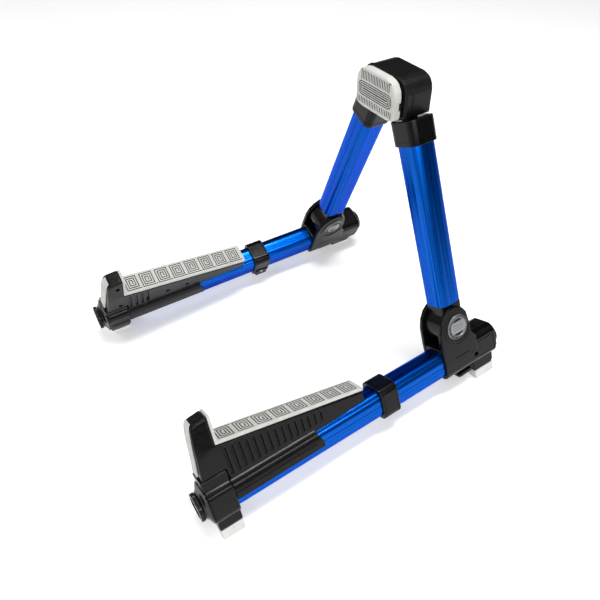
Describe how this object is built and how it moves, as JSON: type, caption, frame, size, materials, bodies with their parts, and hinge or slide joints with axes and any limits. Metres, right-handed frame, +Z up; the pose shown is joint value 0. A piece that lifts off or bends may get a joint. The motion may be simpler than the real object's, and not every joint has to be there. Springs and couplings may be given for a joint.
{
  "type": "guitar stand",
  "caption": "Folding A-frame instrument stand: splayed tube legs hinged in a padded head, fold-out bases with sloping padded seats, upstands and rubber feet.",
  "frame": {"origin": "on the floor, under the middle of the bounding box of the open stand", "axes": "+Z up; front, where the upstands are, towards -Y; +X to the right seen from the front of the instrument; longest along Y"},
  "size_m": [0.3402, 0.3778, 0.3145],
  "materials": {
    "blue_anodised_tube": "glossy blue anodised, drawn with shallow flutes along the length",
    "black_plastic": "black moulded plastic, fine-grained to satin",
    "light_rubber": "light grey soft moulded rubber",
    "silver_badge": "silver badge with a satin face and dark crescents",
    "bright_steel": "bright plated steel"
  },
  "bodies": {
    "head": {"head_housing": "black_plastic", "head_front_plate": "black_plastic", "head_pad": "light_rubber", "head_rear_cover": "black_plastic", "right_head_pin": "bright_steel", "left_head_pin": "bright_steel", "head_screw_1": "bright_steel", "head_screw_2": "bright_steel", "head_screw_3": "bright_steel", "head_screw_4": "bright_steel"},
    "right_leg": {"right_upper_tube": "blue_anodised_tube", "right_top_sleeve": "black_plastic", "right_head_knuckle": "black_plastic", "right_hinge_knuckle": "black_plastic"},
    "right_base": {"right_pivot_pin": "bright_steel", "right_outer_badge": "silver_badge", "right_inner_badge": "silver_badge", "right_hinge_block": "black_plastic", "right_base_tube": "blue_anodised_tube", "right_rear_cap": "black_plastic", "right_rear_foot": "light_rubber", "right_latch_pin": "bright_steel", "right_latch_spring": "bright_steel", "right_mid_band": "black_plastic", "right_band_screw": "bright_steel", "right_arm_outer_shell": "black_plastic", "right_arm_inner_shell": "black_plastic", "right_seat_pad": "light_rubber", "right_upstand_strip": "light_rubber", "right_front_block": "black_plastic", "right_front_foot": "light_rubber", "right_front_nose": "black_plastic", "right_front_disc": "black_plastic"},
    "right_latch": {"right_release_latch": "black_plastic"},
    "left_leg": {"left_upper_tube": "blue_anodised_tube", "left_top_sleeve": "black_plastic", "left_head_knuckle": "black_plastic", "left_hinge_knuckle": "black_plastic"},
    "left_base": {"left_pivot_pin": "bright_steel", "left_outer_badge": "silver_badge", "left_inner_badge": "silver_badge", "left_hinge_block": "black_plastic", "left_base_tube": "blue_anodised_tube", "left_rear_cap": "black_plastic", "left_rear_foot": "light_rubber", "left_latch_pin": "bright_steel", "left_latch_spring": "bright_steel", "left_mid_band": "black_plastic", "left_band_screw": "bright_steel", "left_arm_outer_shell": "black_plastic", "left_arm_inner_shell": "black_plastic", "left_seat_pad": "light_rubber", "left_upstand_strip": "light_rubber", "left_front_block": "black_plastic", "left_front_foot": "light_rubber", "left_front_nose": "black_plastic", "left_front_disc": "black_plastic"},
    "left_latch": {"left_release_latch": "black_plastic"}
  },
  "joints": [
    {"name": "right_leg_spread", "type": "hinge", "parent": "head", "child": "right_leg", "pos_m": [0.02034, 0.12716, 0.28899], "axis": [0, 0.9985, -0.0544], "range_deg": [0, 24.18]},
    {"name": "left_leg_spread", "type": "hinge", "parent": "head", "child": "left_leg", "pos_m": [-0.02034, 0.12716, 0.28899], "axis": [0, -0.9985, 0.0544], "range_deg": [0, 24.18]},
    {"name": "right_base_fold", "type": "hinge", "parent": "right_leg", "child": "right_base", "pos_m": [0.1185, 0.12956, 0.07], "axis": [-0.9122, -0.0223, -0.4091], "range_deg": [0, 78]},
    {"name": "left_base_fold", "type": "hinge", "parent": "left_leg", "child": "left_base", "pos_m": [-0.1185, 0.12956, 0.07], "axis": [-0.9122, 0.0223, 0.4091], "range_deg": [0, 78]},
    {"name": "right_latch_press", "type": "hinge", "parent": "right_base", "child": "right_latch", "pos_m": [0.13534, 0.14398, 0.03168], "axis": [-0.9122, -0.0223, -0.4091], "range_deg": [0, 8], "stiffness_Nm_per_rad": 0.05, "springref_deg": -11.46},
    {"name": "left_latch_press", "type": "hinge", "parent": "left_base", "child": "left_latch", "pos_m": [-0.13534, 0.14398, 0.03168], "axis": [-0.9122, 0.0223, 0.4091], "range_deg": [0, 8], "stiffness_Nm_per_rad": 0.05, "springref_deg": -11.46}
  ],
  "couplings": [
    {"joint": "left_leg_spread", "follows": "right_leg_spread", "ratio": 1},
    {"joint": "right_base_fold", "follows": "right_leg_spread", "ratio": 3.2247},
    {"joint": "left_base_fold", "follows": "right_leg_spread", "ratio": 3.2247}
  ]
}
